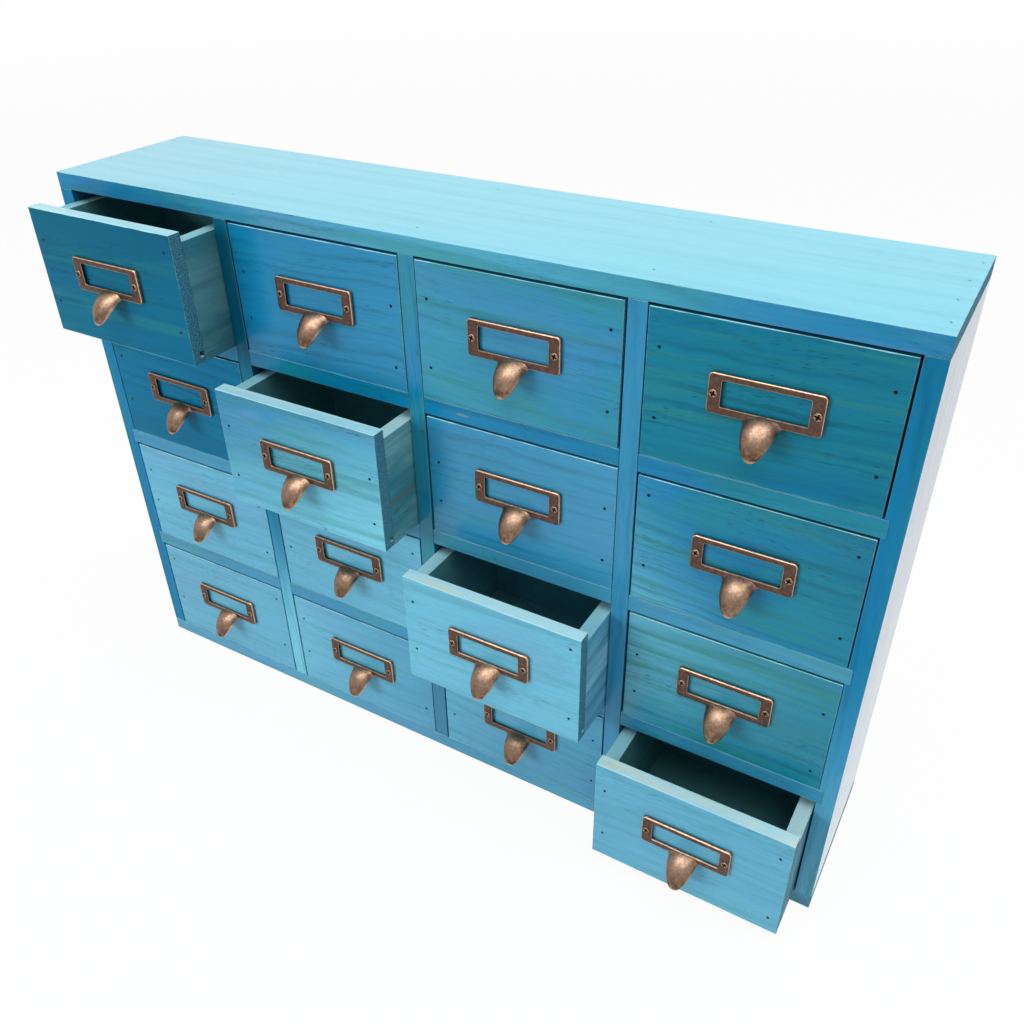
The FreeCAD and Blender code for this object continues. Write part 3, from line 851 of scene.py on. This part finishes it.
# For each drawer box that differs from the rest: how blue and how dim its boards are, the dimming being
# painted shade
BOX_TONES = {11: (0.0, 0.55), 33: (1.0, 0.0), 44: (0.4, 0.6)}
SCRATCH_TINT = colour(122, 140, 122)
STREAK_TINT = colour(118, 112, 104)
BLOTCH_TINT = colour(200, 214, 190)
CASE_GRAIN = {"top_panel": "x", "bottom_panel": "x", "left_side": "z", "right_side": "z",
              "back_panel": "x", "divider_1": "z", "divider_2": "z", "divider_3": "z",
              "shelf_1": "x", "shelf_2": "x", "shelf_3": "x"}


def ease_edges(node):
    """Softens a board's edges without touching its mesh."""
    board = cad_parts[node]
    weld = board.modifiers.new("Weld", "WELD")
    weld.merge_threshold = 0.01 * MM
    bevel = board.modifiers.new("Easing", "BEVEL")
    bevel.width = EASING
    bevel.segments = 2
    bevel.limit_method = "ANGLE"
    bevel.angle_limit = radians(50)
    bevel.harden_normals = True


def paint(node, material):
    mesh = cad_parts[node].data
    mesh.materials.clear()
    mesh.materials.append(material)


def board_marks():
    """Where the boards are scratched, streaked or rubbed through, by node."""
    low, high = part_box("shelf_1")
    scratch = Vector((29 * MM, low.y, (low.z + high.z) / 2))
    low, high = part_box("drawer_22_box")
    streak = Vector((high.x, low.y + 12 * MM, low.z + 27 * MM))
    low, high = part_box("drawer_44_front")
    short_blotch = Vector((low.x + 8 * MM, low.y + 3 * MM, high.z))
    low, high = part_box("drawer_33_front")
    long_blotch = Vector((low.x + 24 * MM, low.y + 2 * MM, high.z))
    return {"shelf_1": [(scratch, Vector((5, 3, 0.8)) * MM, SCRATCH_TINT)],
            "drawer_22_box": [(streak, Vector((3, 24, 2)) * MM, STREAK_TINT)],
            "drawer_44_front": [(short_blotch, Vector((7, 3, 1)) * MM, BLOTCH_TINT)],
            "drawer_33_front": [(long_blotch, Vector((18, 2.5, 1)) * MM, BLOTCH_TINT)]}


def finish_boards():
    marks = board_marks()
    for seed, (node, grain) in enumerate(CASE_GRAIN.items()):
        top = SANDED_AND_LIT_CASE_TOP if node == "top_panel" else STAINED_TOP
        paint(node, stained_wood(node + "_stain", grain, seed + 40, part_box(node), CASE_STAIN_AND_LIGHT[node], top,
                                 CASE_EDGE_WEAR_AND_HIGHLIGHT, marks.get(node, ()), coated=CASE_COAT.get(node),
                                 ends_thick=THICK_ENDS.get(node, 0.0)))
        ease_edges(node)
    for number, stain in FRONT_STAIN_AND_LIGHT.items():
        drawer = f"drawer_{number}"
        # Closed drawers keep the dark stain on their tops, painted shade of the gap above them; open ones
        # get the paler, lit top
        stands_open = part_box(drawer + "_front")[0].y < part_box("top_panel")[0].y - 1 * MM
        top = SANDED_AND_LIT_FRONT_TOP if stands_open else STAINED_TOP
        tilt = radians(3 * sin(number * 2.3))
        front, box = drawer + "_front", drawer + "_box"
        paint(front, stained_wood(front + "_stain", "x", number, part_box(front), stain, top, FRONT_EDGE_WEAR_AND_HIGHLIGHT,
                                  marks.get(front, ()), tilt))
        paint(box, pale_wood(box + "_stain", "y", number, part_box(box), *BOX_TONES.get(number, (0.0, 0.0)),
                             marks.get(box, ())))
        ease_edges(front)


# ---------------------------------------------------------------- stage, light and camera

CAMERA_PLACE = (0.27730, -0.41876, 0.49810)
CAMERA_TURN = (56.061, 0.807, 30.217)
CAMERA_LENS = 34.074
SENSOR = 36.0
FLOOR_SIZE = 40.0
# The floor glows this much close to the part, and wholly from the second distance on
FLOOR_GLOW = 0.95
GLOW_FROM = 0.6
GLOW_TO = 5.0
ROOM_COLOUR = (0.96, 0.98, 1, 1)
ROOM_LIGHT = 0.25


def seen_directly(tree):
    """1 for rays from the camera, or by way of metal or glass."""
    path = tree.nodes.new("ShaderNodeLightPath")
    total = path.outputs["Is Camera Ray"]
    for name in ("Is Glossy Ray", "Is Transmission Ray"):
        more = tree.nodes.new("ShaderNodeMath")
        more.operation = "MAXIMUM"
        tree.links.new(total, more.inputs[0])
        tree.links.new(path.outputs[name], more.inputs[1])
        total = more.outputs[0]
    return total


def lay_floor():
    deselect_all()
    bpy.ops.mesh.primitive_plane_add(size=FLOOR_SIZE)
    floor = settle(bpy.context.object, "floor")
    finish = Finish("pale_floor", Roughness=0.9, Base_Color=colour(236, 238, 240), Specular_IOR_Level=0.0)
    tree = finish.tree
    glow = finish.node("Emission", {"Color": (1, 1, 1, 1), "Strength": 1.0})
    place = finish.node("TexCoord", {}).outputs["Object"]
    distance = finish.node("VectorMath", {0: place}, operation="LENGTH").outputs["Value"]
    direct = seen_directly(tree)
    share = finish.sum("MULTIPLY", direct, finish.between(distance, GLOW_FROM, GLOW_TO, FLOOR_GLOW, 1.0))
    both = finish.node("MixShader", {0: share, 1: finish.shader.outputs[0], 2: glow.outputs[0]})
    tree.links.new(both.outputs[0], tree.nodes["Material Output"].inputs["Surface"])
    floor.data.materials.append(finish.material)


def light_world():
    world = bpy.data.worlds.new("studio")
    bpy.context.scene.world = world
    world.use_nodes = True
    tree = world.node_tree
    room = tree.nodes["Background"]
    room.inputs["Color"].default_value = ROOM_COLOUR
    room.inputs["Strength"].default_value = ROOM_LIGHT
    white = tree.nodes.new("ShaderNodeBackground")
    white.inputs["Color"].default_value = (1, 1, 1, 1)
    white.inputs["Strength"].default_value = 1.0
    mix = tree.nodes.new("ShaderNodeMixShader")
    tree.links.new(seen_directly(tree), mix.inputs[0])
    tree.links.new(room.outputs[0], mix.inputs[1])
    tree.links.new(white.outputs[0], mix.inputs[2])
    tree.links.new(mix.outputs[0], tree.nodes["World Output"].inputs["Surface"])


def add_softbox(name, place, target, size, power, mirrored=True, diffuse=True):
    """A lamp of soft light: whether metal and lacquer mirror it, and whether it lights dull surfaces."""
    data = bpy.data.lights.new(name, "AREA")
    data.shape = "RECTANGLE"
    data.size, data.size_y = size
    data.energy = power
    lamp = bpy.data.objects.new(name, data)
    bpy.context.scene.collection.objects.link(lamp)
    lamp.location = place
    lamp.rotation_euler = (Vector(target) - Vector(place)).to_track_quat("-Z", "Y").to_euler()
    lamp.visible_glossy = mirrored
    lamp.visible_diffuse = diffuse


def set_lights():
    add_softbox("over_softbox", (0.4, -0.15, 1.8), (0, -0.02, 0.3), (2.2, 1.5), 32)
    add_softbox("left_softbox", (-1.15, -1.85, 0.75), (0, 0, 0.15), (1.1, 0.7), 26, mirrored=False)
    add_softbox("sparkle_softbox", (-0.4, -0.65, 1.5), (0, -0.05, 0.2), (0.45, 1.0), 7, diffuse=False)


def set_camera():
    data = bpy.data.cameras.new("camera")
    data.lens = CAMERA_LENS
    data.sensor_width = SENSOR
    data.clip_start = 0.01
    camera = bpy.data.objects.new("camera", data)
    bpy.context.scene.collection.objects.link(camera)
    camera.location = CAMERA_PLACE
    camera.rotation_euler = [radians(angle) for angle in CAMERA_TURN]
    bpy.context.scene.camera = camera


set_camera()
light_world()
set_lights()
lay_floor()
finish_boards()
make_pulls(cast_copper("antique_copper"))
make_case_brads(brad_steel("stained_brads", STAINED_BRAD, STAINED_BRAD_PALE))
# Front brads in near-black: painted shade of the nail holes
make_front_brads(brad_steel("brad_steel", BRAD_HOLE_SHADE, BRAD_HOLE_SHADE_PALE))
bpy.context.scene.view_settings.view_transform = "Standard"
